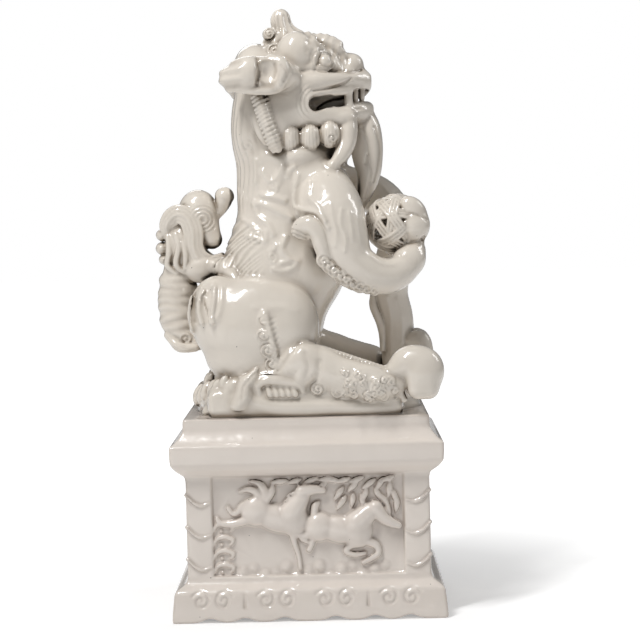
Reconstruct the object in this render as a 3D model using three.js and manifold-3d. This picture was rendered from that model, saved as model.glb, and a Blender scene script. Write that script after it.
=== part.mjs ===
// A seated guardian dog with an openwork ball, in white glazed ceramic, on a moulded box plinth.
// Millimetres, +Z up. The dog faces +X, and its right flank is on the -Y side. Z = 0 is the
// surface that the plinth stands on, and the middle of the whole object is at X = Y = 0.
import * as THREE from "three";
import { mergeVertices } from "three/addons/utils/BufferGeometryUtils.js";
import Module from "manifold-3d";

const wasm = await Module();
wasm.setup();

// ---- driving dimensions ----
const GAP = 0.35; // clearance left in each joint between two luted pieces
const WALL = 6; // thickness of the slip-cast shells
const SHIFT_X = 7; // moves the whole statue so that its bounding box is centred on X = 0
const DIE_HALF_WIDTH = 105.5; // the plain block of the plinth between skirt and cornice
const DIE_HALF_DEPTH = 72.5;
const PLINTH_TOP = 174.7;
const POUR_HOLE = { radius: 20, centre: [-30, 0] }; // joins the cavities of the plinth and the dog
const BALL_CENTRE = [88, -24, 339];
const BALL_RADIUS = 26.5;
const RIGHT = -1; // the sign of Y on the dog's right flank
const LEFT = 1;

// ---- from three.js geometry to solids ----
// A form is a function from a swell in mm to a solid whose skin lies that much further out.

function solidFrom(geometry) {
  const bare = geometry.clone();
  bare.deleteAttribute("normal");
  bare.deleteAttribute("uv");
  const merged = mergeVertices(bare, 1e-3);
  const corners = Array.from(merged.index.array);
  const triangles = [];
  for (let i = 0; i < corners.length; i += 3) {
    const [a, b, c] = corners.slice(i, i + 3);
    if (a !== b && b !== c && c !== a) triangles.push(a, b, c);
  }
  return new wasm.Manifold(
    new wasm.Mesh({
      numProp: 3,
      vertProperties: merged.attributes.position.array,
      triVerts: new Uint32Array(triangles),
    }),
  );
}

// An ellipsoid, turned by Euler angles in degrees.
function ellipsoid(centre, radii, turn = [0, 0, 0], rings = 6) {
  return (swell) => {
    const geometry = new THREE.SphereGeometry(1, 2 * rings, rings);
    geometry.rotateX(Math.PI / 2);
    geometry.scale(...radii.map((radius) => radius + swell));
    const angles = turn.map(THREE.MathUtils.degToRad);
    geometry.applyMatrix4(new THREE.Matrix4().makeRotationFromEuler(new THREE.Euler(...angles)));
    geometry.translate(...centre);
    return solidFrom(geometry);
  };
}

// A round-ended limb along a smooth curve through [x, y, z, radius] stations.
// Its cross-section is `breadth` times as wide along Y as it is across the curve.
function limb(stations, { breadth = 1, sides = 8, steps = 0 } = {}) {
  const curve = new THREE.CatmullRomCurve3(
    stations.map(([x, y, z]) => new THREE.Vector3(x, y, z)),
    false,
    "centripetal",
  );
  const spans = stations.length - 1;
  const rows = steps || 2 * spans;
  const radiusAt = (t) => {
    const span = Math.min(Math.floor(t * spans), spans - 1);
    return THREE.MathUtils.lerp(stations[span][3], stations[span + 1][3], t * spans - span);
  };
  return (swell) => {
    const geometry = new THREE.CapsuleGeometry(1, 1, 2, sides, rows);
    const position = geometry.getAttribute("position");
    const point = new THREE.Vector3();
    for (let i = 0; i < position.count; i += 1) {
      point.fromBufferAttribute(position, i);
      const t = THREE.MathUtils.clamp(point.y + 0.5, 0, 1);
      const beyond = point.y + 0.5 - t;
      const along = curve.getTangent(t);
      const across = new THREE.Vector3(0, 1, 0).addScaledVector(along, -along.y).normalize();
      const third = new THREE.Vector3().crossVectors(across, along);
      const radius = radiusAt(t) + swell;
      const placed = curve.getPoint(t);
      placed.addScaledVector(across, point.x * radius * breadth);
      placed.addScaledVector(third, point.z * radius);
      placed.addScaledVector(along, beyond * radius);
      position.setXYZ(i, placed.x, placed.y, placed.z);
    }
    return solidFrom(geometry);
  };
}

// An upright prism through `outline`, from z = bottom to z = top.
function prism(outline, bottom, top) {
  const shape = new THREE.Shape(outline.map(([x, y]) => new THREE.Vector2(x, y)));
  const geometry = new THREE.ExtrudeGeometry(shape, { depth: top - bottom, bevelEnabled: false });
  geometry.translate(0, 0, bottom);
  return geometry;
}

function block(low, high) {
  const size = high.map((value, axis) => value - low[axis]);
  const geometry = new THREE.BoxGeometry(...size);
  geometry.translate(...low.map((value, axis) => value + size[axis] / 2));
  return solidFrom(geometry);
}

function upright(radius, bottom, top, centre) {
  const geometry = new THREE.CylinderGeometry(radius, radius, top - bottom, 20);
  geometry.rotateX(Math.PI / 2);
  geometry.translate(centre[0], centre[1], (bottom + top) / 2);
  return solidFrom(geometry);
}

const pourHole = () => upright(POUR_HOLE.radius, 100, 240, POUR_HOLE.centre);

const join = (...forms) => (swell) =>
  forms.map((form) => form(swell)).reduce((all, one) => all.add(one));

// ---- the plinth ----
// Each station of the moulding is [how far it stands out from the die, height].
const SKIRT = [[13.2, 0], [13, 8], [11, 25.5], [7.5, 28.5], [2.5, 31], [0, 35.2]];
const CORNICE = [[0, 124.2], [5.5, 127], [11, 135], [12.2, 144], [11, 153], [6.5, 156.5], [2.5, 161],
  [1, 165.3], [1, PLINTH_TOP]];
const POST_WIDTH = 22;
const PANEL_RECESS = 3;
const PANEL_MARGIN = 2.5; // plain strip above and below each recessed panel
const NOTCH = { height: 4, halfWidth: 5.5 }; // between the lobes of the skirt's lower edge
const NOTCHES_ALONG_WIDTH = [27, 54, 80]; // how far each pair of notches is from the middle
const NOTCHES_ALONG_DEPTH = [24, 50];

// A block whose sides follow the moulding in one direction and are plain in the other.
function moulded(halfWidth, runHalfLength, alongX) {
  const right = [...SKIRT, ...CORNICE].map(([out, height]) => [halfWidth + out, height]);
  const left = right.map(([x, z]) => [-x, z]).reverse();
  const geometry = prism([...right, ...left], -runHalfLength, runHalfLength);
  geometry.rotateX(Math.PI / 2);
  if (alongX) geometry.rotateZ(Math.PI / 2);
  return solidFrom(geometry);
}

// The prism that cuts one round-topped notch out of the lower edge, right across the plinth.
function notchCutter(place, halfLength, alongX) {
  const steps = 6;
  const arch = Array.from({ length: steps + 1 }, (_, i) => {
    const angle = (Math.PI * i) / steps;
    return [place + NOTCH.halfWidth * Math.cos(angle), NOTCH.height * Math.sin(angle)];
  });
  const below = [[place - NOTCH.halfWidth, -2], [place + NOTCH.halfWidth, -2]];
  const geometry = prism([...below, ...arch], -halfLength, halfLength);
  geometry.rotateX(Math.PI / 2);
  if (alongX) geometry.rotateZ(Math.PI / 2);
  return solidFrom(geometry);
}

function plinthSolid() {
  const outLength = 200;
  const dieBottom = SKIRT.at(-1)[1];
  const dieTop = CORNICE[0][1];
  const across = moulded(DIE_HALF_WIDTH, outLength, false);
  const along = moulded(DIE_HALF_DEPTH, outLength, true);
  let body = across.intersect(along);
  for (const side of [RIGHT, LEFT]) {
    for (const place of NOTCHES_ALONG_WIDTH) {
      body = body.subtract(notchCutter(side * place, outLength, false));
    }
    for (const place of NOTCHES_ALONG_DEPTH) {
      body = body.subtract(notchCutter(side * place, outLength, true));
    }
    const face = side * DIE_HALF_DEPTH;
    const panel = [DIE_HALF_WIDTH - POST_WIDTH, PANEL_RECESS];
    body = body.subtract(
      block(
        [-panel[0], face - panel[1], dieBottom + PANEL_MARGIN],
        [panel[0], face + panel[1], dieTop - PANEL_MARGIN],
      ),
    );
    const end = side * DIE_HALF_WIDTH;
    const endHalf = DIE_HALF_DEPTH - POST_WIDTH;
    body = body.subtract(
      block(
        [end - PANEL_RECESS, -endHalf, dieBottom + PANEL_MARGIN],
        [end + PANEL_RECESS, endHalf, dieTop - PANEL_MARGIN],
      ),
    );
  }
  const inside = [DIE_HALF_WIDTH - WALL - PANEL_RECESS, DIE_HALF_DEPTH - WALL - PANEL_RECESS];
  body = body.subtract(block([-inside[0], -inside[1], -5], [inside[0], inside[1], PLINTH_TOP - WALL]));
  const flare = SKIRT[0][0];
  body = body.subtract(
    block(
      [-inside[0] - flare, -inside[1] - flare, -5],
      [inside[0] + flare, inside[1] + flare, SKIRT[2][1] - WALL],
    ),
  );
  return body.subtract(pourHole());
}

// ---- the ground under the dog ----
function groundForm() {
  const rocks = [
    ellipsoid([0, 0, 172], [105, 70, 33], [0, 0, 0], 8),
    ellipsoid([-78, -28, 182], [24, 28, 20]),
    ellipsoid([-82, 26, 182], [22, 30, 18]),
    ellipsoid([70, 30, 180], [30, 30, 22]),
  ];
  const scrolls = [];
  for (const side of [RIGHT, LEFT]) {
    for (let x = -80; x <= 64; x += 24) {
      scrolls.push(ellipsoid([x, side * 60, 184], [13, 11, 10], [0, 0, 0], 4));
    }
  }
  return join(...rocks, ...scrolls);
}

const groundCavity = ellipsoid([0, 0, 172], [90, 58, 24], [0, 0, 0], 5);

// ---- body ----
const torsoForm = join(
  limb(
    [
      [-20, 0, 408, 37],
      [-13, 0, 370, 44],
      [-14, 0, 335, 49],
      [-22, 0, 300, 52],
      [-30, 0, 262, 50],
      [-34, 0, 225, 44],
    ],
    { sides: 14, breadth: 0.96, steps: 10 },
  ),
  ellipsoid([5, 0, 345], [28, 40, 42]),
);

const torsoCavity = limb(
  [
    [-19, 0, 405, 31],
    [-13, 0, 345, 41],
    [-28, 0, 268, 43],
    [-34, 0, 215, 36],
  ],
  { sides: 12, steps: 6 },
);

// ---- head ----
const headForm = join(
  ellipsoid([-6, 0, 463], [36, 46, 34], [0, 0, 0], 8),
  ellipsoid([-30, 0, 438], [27, 43, 31], [0, 0, 0], 8),
  ellipsoid([5, -24, 487], [17, 17, 17]),
  ellipsoid([5, 24, 487], [17, 17, 17]),
  ellipsoid([30, 0, 466], [25, 25, 20]),
  ellipsoid([30, -17, 457], [27, 14, 8.5]),
  ellipsoid([30, 17, 457], [27, 14, 8.5]),
  ellipsoid([48, 0, 478], [10, 15, 8]),
  ellipsoid([2, -34, 440], [22, 15, 18]),
  ellipsoid([2, 34, 440], [22, 15, 18]),
);

const headCavity = join(
  ellipsoid([-6, 0, 462], [28, 36, 25]),
  ellipsoid([26, 0, 458], [20, 20, 13], [0, 0, 0], 5),
);

function mouthSlot() {
  const slot = block([11, -60, 440], [80, 60, 450.5]);
  return slot.add(upright(15, 432, 452, [24, 0]));
}

const jawForm = join(
  ellipsoid([25, 0, 435], [34, 28, 9], [0, -6, 0]),
  ellipsoid([48, 0, 437], [12, 18, 9], [0, -10, 0], 5),
);

function crestForm() {
  return join(
    limb([[-14, 0, 486, 16], [-18, 0, 503, 14], [-18, 0, 516, 9], [-20, 0, 526, 4]]),
    ellipsoid([-25, -16, 503], [8, 8, 8], [0, 0, 0], 5),
    ellipsoid([-24, -22, 489], [8, 8, 8], [0, 0, 0], 5),
    ellipsoid([-25, 16, 503], [8, 8, 8], [0, 0, 0], 5),
    ellipsoid([-24, 22, 489], [8, 8, 8], [0, 0, 0], 5),
  );
}

const earForm = (side) =>
  limb(
    [
      [0, side * 44, 462, 11],
      [-22, side * 51, 470, 13],
      [-46, side * 53, 470, 12],
      [-60, side * 49, 463, 8],
    ],
    { breadth: 0.8 },
  );

const eyeForm = (side) => ellipsoid([23, side * 27, 480], [7, 7, 6.5], [0, 0, 0], 5);

const fangForm = (side) =>
  limb([[40, side * 18, 451, 4], [40, side * 18, 439, 3]], { sides: 8, steps: 1 });

const maneRollForm = (side) =>
  limb([
    [-34, side * 46, 450, 7],
    [-28, side * 49, 432, 8],
    [-18, side * 48, 418, 8],
    [-8, side * 43, 410, 7],
  ]);

const cheekCurlForm = (side) =>
  join(
    ellipsoid([-3, side * 40, 415], [9, 10, 9], [0, 0, 0], 5),
    ellipsoid([11, side * 37, 417], [10, 10, 10], [0, 0, 0], 5),
    ellipsoid([25, side * 32, 421], [9, 9, 8.5], [0, 0, 0], 5),
  );

const chinTuftForm = (side) =>
  limb([
    [38, side * 26, 428, 7],
    [41, side * 31, 410, 5.5],
    [37, side * 34, 398, 4],
    [29, side * 36, 389, 1.6],
  ]);

const beardForm = limb(
  [
    [54, 0, 434, 9],
    [64, 0, 412, 11],
    [67, 0, 392, 10],
    [62, 0, 367, 6.5],
    [57, 0, 347, 2],
  ],
  { breadth: 1.35 },
);

// ---- forelegs ----
const rightForelegForm = join(
  limb(
    [
      [6, -36, 372, 27],
      [20, -52, 338, 23],
      [38, -60, 306, 20],
      [68, -58, 294, 16.5],
      [92, -46, 302, 14],
      [101, -34, 317, 13],
    ],
    { sides: 12 },
  ),
  ellipsoid([103, -37, 329], [11, 12, 13]),
);

const leftForelegForm = join(
  limb(
    [
      [10, 34, 368, 26],
      [52, 38, 374, 19],
      [84, 34, 366, 16],
      [97, 26, 350, 15],
      [92, 24, 320, 15],
      [80, 26, 285, 15],
      [78, 28, 250, 15],
      [82, 30, 215, 17],
    ],
    { sides: 12 },
  ),
  ellipsoid([98, 30, 214], [20, 17, 15]),
);

// ---- the openwork ball: six strips round the great circles of an icosahedron ----
function ballForm(swell) {
  if (swell > 0) return ellipsoid(BALL_CENTRE, Array(3).fill(BALL_RADIUS))(swell);
  const golden = (1 + Math.sqrt(5)) / 2;
  const strip = { reach: 2.1, halfWidth: 3.4 };
  const poles = [-1, 1].flatMap((sign) => [
    [0, 1, sign * golden],
    [1, sign * golden, 0],
    [sign * golden, 0, 1],
  ]);
  const strips = poles.map((pole) => {
    const geometry = new THREE.TorusGeometry(BALL_RADIUS - strip.reach, strip.reach, 4, 15);
    geometry.scale(1, 1, strip.halfWidth / strip.reach);
    const turn = new THREE.Quaternion().setFromUnitVectors(
      new THREE.Vector3(0, 0, 1),
      new THREE.Vector3(...pole).normalize(),
    );
    geometry.applyQuaternion(turn);
    geometry.translate(...BALL_CENTRE);
    return solidFrom(geometry);
  });
  return strips.reduce((all, one) => all.add(one));
}

// ---- hind legs ----
const haunchForm = (side) =>
  join(
    ellipsoid([-44, side * 40, 250], [55, 33, 48], [0, 0, 0], 9),
    ellipsoid([-74, side * 28, 244], [28, 30, 48]),
    ellipsoid([-8, side * 46, 246], [24, 25, 34]),
  );

const haunchCavity = (side) => ellipsoid([-48, side * 38, 248], [46, 26, 40]);

const rightHindLegForm = join(
  haunchForm(RIGHT),
  limb([[-8, -52, 216, 25], [26, -60, 210, 22], [54, -64, 206, 17], [76, -68, 206, 12]]),
);

const leftHindLegForm = join(
  haunchForm(LEFT),
  limb([[-6, 48, 256, 22], [30, 56, 242, 15], [62, 60, 226, 12], [78, 62, 212, 12]]),
);

const hindFootForm = (side) =>
  join(
    ellipsoid([101, side * 70, 211], [22, 15, 21], [0, -20, 0]),
    ellipsoid([84, side * 68, 202], [16, 13, 12]),
  );

// ---- tail ----
const tailTrunkForm = join(
  limb([[-92, 4, 222, 12], [-112, 6, 236, 14], [-121, 8, 262, 15], [-118, 8, 292, 14]]),
  limb([[-112, 6, 246, 11], [-112, 6, 230, 9]], { steps: 1 }),
);

const tailPlumeForm = join(
  ellipsoid([-94, 6, 348], [21, 20, 27]),
  limb([[-116, 8, 300, 15], [-114, 8, 322, 18], [-104, 8, 340, 17]]),
  limb([[-118, 4, 340, 10], [-104, -4, 318, 13], [-84, -4, 308, 12], [-66, -4, 290, 6]]),
  limb([[-82, 4, 350, 10], [-69, 2, 366, 9]], { steps: 1 }),
  ellipsoid([-73, 2, 330], [8, 8, 7], [0, 0, 0], 5),
  ellipsoid([-128, 8, 330], [9, 10, 12], [0, 0, 0], 5),
);

// ---- assembly ----
const GLAZES = {
  body: { color: 0xece8e0, roughness: 0.16, metalness: 0 },
  plinth: { color: 0xe6ddd3, roughness: 0.2, metalness: 0 },
};

// The forms in the order in which their pieces are luted: each piece is shaped to those before it.
const PIECES = [
  { name: "plinth", solid: plinthSolid, glaze: "plinth" },
  { name: "ground", form: groundForm(), cavity: groundCavity, extraCut: pourHole },
  { name: "torso", form: torsoForm, cavity: torsoCavity, extraCut: pourHole },
  { name: "head", form: headForm, cavity: headCavity, extraCut: mouthSlot },
  { name: "lower_jaw", form: jawForm, extraCut: () => upright(13, 439, 460, [26, 0]) },
  { name: "crest", form: crestForm() },
  { name: "right_ear", form: earForm(RIGHT) },
  { name: "left_ear", form: earForm(LEFT) },
  { name: "right_eye", form: eyeForm(RIGHT) },
  { name: "left_eye", form: eyeForm(LEFT) },
  { name: "right_fang", form: fangForm(RIGHT) },
  { name: "left_fang", form: fangForm(LEFT) },
  { name: "right_mane_roll", form: maneRollForm(RIGHT) },
  { name: "left_mane_roll", form: maneRollForm(LEFT) },
  { name: "right_cheek_curls", form: cheekCurlForm(RIGHT) },
  { name: "left_cheek_curls", form: cheekCurlForm(LEFT) },
  { name: "right_chin_tuft", form: chinTuftForm(RIGHT) },
  { name: "left_chin_tuft", form: chinTuftForm(LEFT) },
  { name: "beard", form: beardForm },
  { name: "right_foreleg", form: rightForelegForm },
  { name: "left_foreleg", form: leftForelegForm },
  { name: "ribbon_ball", form: ballForm },
  { name: "right_hind_leg", form: rightHindLegForm, cavity: haunchCavity(RIGHT) },
  { name: "left_hind_leg", form: leftHindLegForm, cavity: haunchCavity(LEFT) },
  { name: "right_hind_foot", form: hindFootForm(RIGHT) },
  { name: "left_hind_foot", form: hindFootForm(LEFT) },
  { name: "tail_trunk", form: tailTrunkForm },
  { name: "tail_plume", form: tailPlumeForm },
];

const largestBody = (solid) =>
  solid.decompose().reduce((best, one) => (one.volume() > best.volume() ? one : best));

function meshFrom(solid, piece) {
  const mesh = solid.getMesh();
  const geometry = new THREE.BufferGeometry();
  geometry.setAttribute("position", new THREE.BufferAttribute(mesh.vertProperties, 3));
  geometry.setIndex(new THREE.BufferAttribute(mesh.triVerts, 1));
  geometry.translate(SHIFT_X, 0, 0);
  geometry.computeVertexNormals();
  const material = new THREE.MeshStandardMaterial(GLAZES[piece.glaze ?? "body"]);
  const node = new THREE.Mesh(geometry, material);
  node.name = piece.name;
  return node;
}

const statue = new THREE.Group();
const swollen = []; // the earlier pieces, each grown by the joint gap
const base = block([-150, -150, 0], [150, 150, PLINTH_TOP + GAP]);

for (const piece of PIECES) {
  let solid = piece.solid ? piece.solid() : piece.form(0).subtract(base);
  if (piece.cavity) solid = solid.subtract(piece.cavity(0));
  for (const earlier of swollen) solid = solid.subtract(earlier);
  if (piece.extraCut) solid = solid.subtract(piece.extraCut());
  if (piece.form) swollen.push(piece.form(GAP));
  statue.add(meshFrom(largestBody(solid), piece));
}

export default statue;
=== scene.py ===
import math
from concurrent.futures import ThreadPoolExecutor

import bpy
import numpy as np
from mathutils import Euler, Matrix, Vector


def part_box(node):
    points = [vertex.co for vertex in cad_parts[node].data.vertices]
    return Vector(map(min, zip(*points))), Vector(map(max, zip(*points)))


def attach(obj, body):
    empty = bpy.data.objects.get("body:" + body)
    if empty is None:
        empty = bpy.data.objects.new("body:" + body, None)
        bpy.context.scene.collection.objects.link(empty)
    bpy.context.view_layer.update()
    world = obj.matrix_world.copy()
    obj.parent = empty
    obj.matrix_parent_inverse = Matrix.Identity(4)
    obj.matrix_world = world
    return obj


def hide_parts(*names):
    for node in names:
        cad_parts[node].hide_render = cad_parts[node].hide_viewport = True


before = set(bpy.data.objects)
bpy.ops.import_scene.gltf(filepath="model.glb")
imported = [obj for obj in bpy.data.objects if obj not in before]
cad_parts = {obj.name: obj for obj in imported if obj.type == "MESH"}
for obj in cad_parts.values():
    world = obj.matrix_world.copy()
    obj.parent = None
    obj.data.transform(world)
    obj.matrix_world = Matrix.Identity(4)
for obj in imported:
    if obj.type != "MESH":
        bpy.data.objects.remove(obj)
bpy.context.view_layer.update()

# ---- scale and places, from the frame ----
PLINTH_WIDTH = 237.4  # mm, the width of the plinth in the design
plinth_low, plinth_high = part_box("plinth")
MM = (plinth_high.x - plinth_low.x) / PLINTH_WIDTH
HOME = np.array(
    [(plinth_low.x + plinth_high.x) / 2, (plinth_low.y + plinth_high.y) / 2, plinth_low.z]
)
PLINTH_TOP = (plinth_high.z - plinth_low.z) / MM
RIGHT, LEFT = -1, 1  # the sign of Y on each flank of the dog

FAR = 60.0  # mm, the distance held where nothing is near
OVERLAP = 1.6  # mm, how far neighbouring pieces reach into each other
SINK = 0.7  # mm, how far a piece drops below the shared skin past its seam
MARGIN = 7.0  # mm, room around a piece's box
RIPPLED = 4.0  # mm on either side of the skin, how deep a relief moves the field
FADE_IN = 8.0  # mm, over which an embossed line grows to its full height across the dog
GUARD = 4.0  # mm past a shape's skin and blend in which its distance is worked out
TINY = 1e-9  # keeps a division by a length from failing
LOCK_SPACING = 3.5  # mm between the stations of a lock of hair
LOCK_CORE = 0.78  # the radius of its core, as a share of the whole lock's
CREVICES = (1.5, 3.0, 6.0)  # mm outwards, how far "openness" looks for other clay, for the glaze pooling and painted shade in crevices
HOLLOWS = (9.0, 14.0, 20.0)  # mm outwards, how far "daylight" looks, for the painted shade in deep hollows
THINNING = 0.36  # the share of each mesh's triangles that is kept
MOST_FACES = 120000  # triangles kept in any one piece


def smooth_min(a, b, blend):
    """The smaller of two distances, rounded over `blend` mm where they are close."""
    if blend <= 0:
        return np.minimum(a, b)
    closeness = np.maximum(blend - np.abs(a - b), 0) / blend
    return np.minimum(a, b) - closeness * closeness * (blend / 4)


def spline(stations, spacing):
    """Points every `spacing` mm or so along a Catmull-Rom curve; any further columns follow too."""
    stations = np.asarray(stations, np.float64)
    first = 2 * stations[0] - stations[1]
    last = 2 * stations[-1] - stations[-2]
    padded = np.vstack([first, stations, last])
    rows = []
    for i in range(len(stations) - 1):
        before, start, end, after = padded[i : i + 4]
        steps = max(2, math.ceil(np.linalg.norm(end[:3] - start[:3]) / spacing))
        for t in np.arange(steps) / steps:
            square = (2 * before - 5 * start + 4 * end - after) * t**2
            cube = (3 * start - before - 3 * end + after) * t**3
            rows.append(0.5 * (2 * start + (end - before) * t + square + cube))
    rows.append(stations[-1])
    return np.array(rows)


class Clay:
    """A block of space on a regular grid, holding the distance to the clay that is added to it."""

    def __init__(self, low, high, step):
        self.low = np.asarray(low, np.float64)
        self.step = step
        counts = np.ceil((np.asarray(high) - self.low) / step).astype(int) + 1
        self.axes = [
            (start + step * np.arange(count)).astype(np.float32)
            for start, count in zip(self.low, counts)
        ]
        self.field = np.full(tuple(counts), FAR, np.float32)

    def fresh(self):
        """The same block of space with nothing in it."""
        other = Clay.__new__(Clay)
        other.low, other.step, other.axes = self.low, self.step, self.axes
        other.field = np.full(self.field.shape, FAR, np.float32)
        return other

    def window(self, low, high):
        """The slices of the grid between two corners, or None where they miss it."""
        start = np.floor((np.asarray(low) - self.low) / self.step).astype(int)
        stop = np.ceil((np.asarray(high) - self.low) / self.step).astype(int) + 1
        start = np.maximum(start, 0)
        stop = np.minimum(stop, self.field.shape)
        if np.any(start >= stop):
            return None
        return tuple(slice(int(a), int(b)) for a, b in zip(start, stop))

    def grid(self, window):
        """X, Y and Z of the grid points in a window, ready to combine."""
        x, y, z = (axis[span] for axis, span in zip(self.axes, window))
        return x[:, None, None], y[None, :, None], z[None, None, :]

    def merge(self, window, distance, blend):
        """Adds a shape, given its distance in a window."""
        self.field[window] = smooth_min(self.field[window], distance, blend)

    def carve(self, window, distance, blend):
        """Takes a shape away."""
        self.field[window] = -smooth_min(-self.field[window], distance, blend)

    def ball(self, centre, radii, turn=(0, 0, 0), blend=2.0, cut=False):
        """An ellipsoid, turned by Euler angles in degrees; with `cut`, it is taken away."""
        radii = np.broadcast_to(np.asarray(radii, np.float64), (3,))
        reach = (radii.max() if any(turn) else radii) + blend + GUARD
        window = self.window(centre - reach, np.asarray(centre) + reach)
        if window is None:
            return
        x, y, z = self.grid(window)
        offset = [x - centre[0], y - centre[1], z - centre[2]]
        if any(turn):
            rows = np.array(Euler([math.radians(a) for a in turn]).to_matrix()).T
            offset = [sum(float(r) * o for r, o in zip(row, offset)) for row in rows]
        near = sum((o / float(r)) ** 2 for o, r in zip(offset, radii))
        steep = sum((o / float(r * r)) ** 2 for o, r in zip(offset, radii))
        depth = np.sqrt(near)  # 1 on the skin
        distance = depth * (depth - 1) / np.maximum(np.sqrt(steep), TINY)
        (self.carve if cut else self.merge)(window, distance, blend)

    def tube(self, stations, blend=2.0, spacing=4.0, cut=False):
        """A round-ended tube through [x, y, z, radius] stations."""
        rows = spline(stations, spacing) if len(stations) > 2 else np.asarray(stations, float)
        reach = rows[:, 3].max() + blend + GUARD
        window = self.window(rows[:, :3].min(0) - reach, rows[:, :3].max(0) + reach)
        if window is None:
            return
        origin = [span.start for span in window]
        local = np.full([span.stop - span.start for span in window], FAR, np.float32)
        for a, b in zip(rows[:-1], rows[1:]):
            reach = max(a[3], b[3]) + blend + GUARD
            part = self.window(np.minimum(a, b)[:3] - reach, np.maximum(a, b)[:3] + reach)
            if part is None:
                continue
            x, y, z = self.grid(part)
            along = [float(step) for step in (b - a)[:3]]
            length = max(float((b - a)[:3] @ (b - a)[:3]), TINY)
            offset = [x - float(a[0]), y - float(a[1]), z - float(a[2])]
            dot = offset[0] * along[0] + offset[1] * along[1] + offset[2] * along[2]
            t = np.clip(dot / length, 0, 1)
            square = [(o - t * step) ** 2 for o, step in zip(offset, along)]
            distance = np.sqrt(square[0] + square[1] + square[2])
            distance = distance - (float(a[3]) + t * float(b[3] - a[3]))
            inner = tuple(slice(span.start - o, span.stop - o) for span, o in zip(part, origin))
            local[inner] = np.minimum(local[inner], distance)
        (self.carve if cut else self.merge)(window, local, blend)

    def lock(self, stations, strands, twist=0.6, blend=2.0, spread=0.5):
        """A lock of hair: a core with thinner strands lying round it, `spread` radii from its middle."""
        rows = spline(stations, LOCK_SPACING)
        core = rows.copy()
        core[:, 3] *= LOCK_CORE
        self.tube(core, blend=blend, spacing=LOCK_SPACING)
        tangent = np.gradient(rows[:, :3], axis=0)
        tangent /= np.linalg.norm(tangent, axis=1, keepdims=True)
        side = np.cross(tangent, (0.0, 1.0, 0.0))
        side /= np.maximum(np.linalg.norm(side, axis=1, keepdims=True), TINY)
        face = np.cross(side, tangent)
        progress = np.linspace(0, 1, len(rows))
        for i in range(strands):
            angle = 2 * math.pi * i / strands + twist * 2 * math.pi * progress
            offset = side * np.cos(angle)[:, None] + face * np.sin(angle)[:, None]
            strand = rows.copy()
            strand[:, :3] += offset * rows[:, 3:] * spread
            strand[:, 3] *= 1.02 - spread
            self.tube(strand, blend=0.5, spacing=LOCK_SPACING)

    def block(self, centre, half, rounding, blend=2.0):
        """A box with rounded edges."""
        half = np.asarray(half, np.float64)
        reach = half + blend + GUARD
        window = self.window(centre - reach, centre + reach)
        if window is None:
            return
        x, y, z = self.grid(window)
        over = [np.abs(o - c) - (h - rounding) for o, c, h in zip((x, y, z), centre, half)]
        outside = np.sqrt(sum(np.maximum(o, 0) ** 2 for o in over))
        inside = np.minimum(np.maximum(np.maximum(over[0], over[1]), over[2]), 0)
        self.merge(window, outside + inside - rounding, blend)

    def emboss(self, side, points, width, height, inner=-FADE_IN):
        """Raises a soft line on one flank, or cuts it where height is below 0; points are (x, z).

        The line fades in over FADE_IN mm outwards from the depth `inner`.
        """
        stations = [[x, 0.0, z] for x, z in points]
        line = (spline(stations, 3.0) if len(points) > 2 else np.array(stations))[:, [0, 2]]
        reach = 2.6 * width
        low = [line[:, 0].min() - reach, min(0, side * 110), line[:, 1].min() - reach]
        high = [line[:, 0].max() + reach, max(0, side * 110), line[:, 1].max() + reach]

        def lift(x, y, z):
            nearest = np.full(x.shape, 1e6, np.float32)
            for (ax, az), (bx, bz) in zip(line[:-1], line[1:]):
                dx, dz = float(bx - ax), float(bz - az)
                length = max(dx * dx + dz * dz, TINY)
                t = np.clip(((x - ax) * dx + (z - az) * dz) / length, 0, 1)
                nearest = np.minimum(nearest, (x - ax - t * dx) ** 2 + (z - az - t * dz) ** 2)
            fade = np.clip((side * y - inner) / FADE_IN, 0, 1)
            return height * fade * np.exp(-nearest / width**2)

        self.ripple(low, high, lift)

    def whorl(self, centre, radius, pitch, height, hand):
        """A spiral raised on the skin round a centre, seen from the side."""
        cx, _, cz = centre
        reach = np.array([radius, 3 * radius, radius])

        def lift(x, y, z):
            away = np.hypot(x - cx, z - cz)
            turn = 2 * np.pi * away / pitch - hand * np.arctan2(z - cz, x - cx)
            return height * np.cos(turn) * np.clip((radius - away) / (0.25 * radius), 0, 1)

        self.ripple(np.array(centre) - reach, np.array(centre) + reach, lift)

    def ripple(self, low, high, height):
        """Pushes the skin between two corners outwards by height(x, y, z) in mm."""
        window = self.window(low, high)
        if window is None:
            return
        field = self.field[window]
        near = np.nonzero(np.abs(field) < RIPPLED)
        if not len(near[0]):
            return
        x, y, z = (axis[span][index] for axis, span, index in zip(self.axes, window, near))
        field[near] -= height(x, y, z)


# ---- meshing ----
CORNERS = np.array([[i >> 2 & 1, i >> 1 & 1, i & 1] for i in range(8)])
EDGES = [
    (a, b)
    for a in range(8)
    for b in range(a + 1, 8)
    if np.abs(CORNERS[a] - CORNERS[b]).sum() == 1
]


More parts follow.
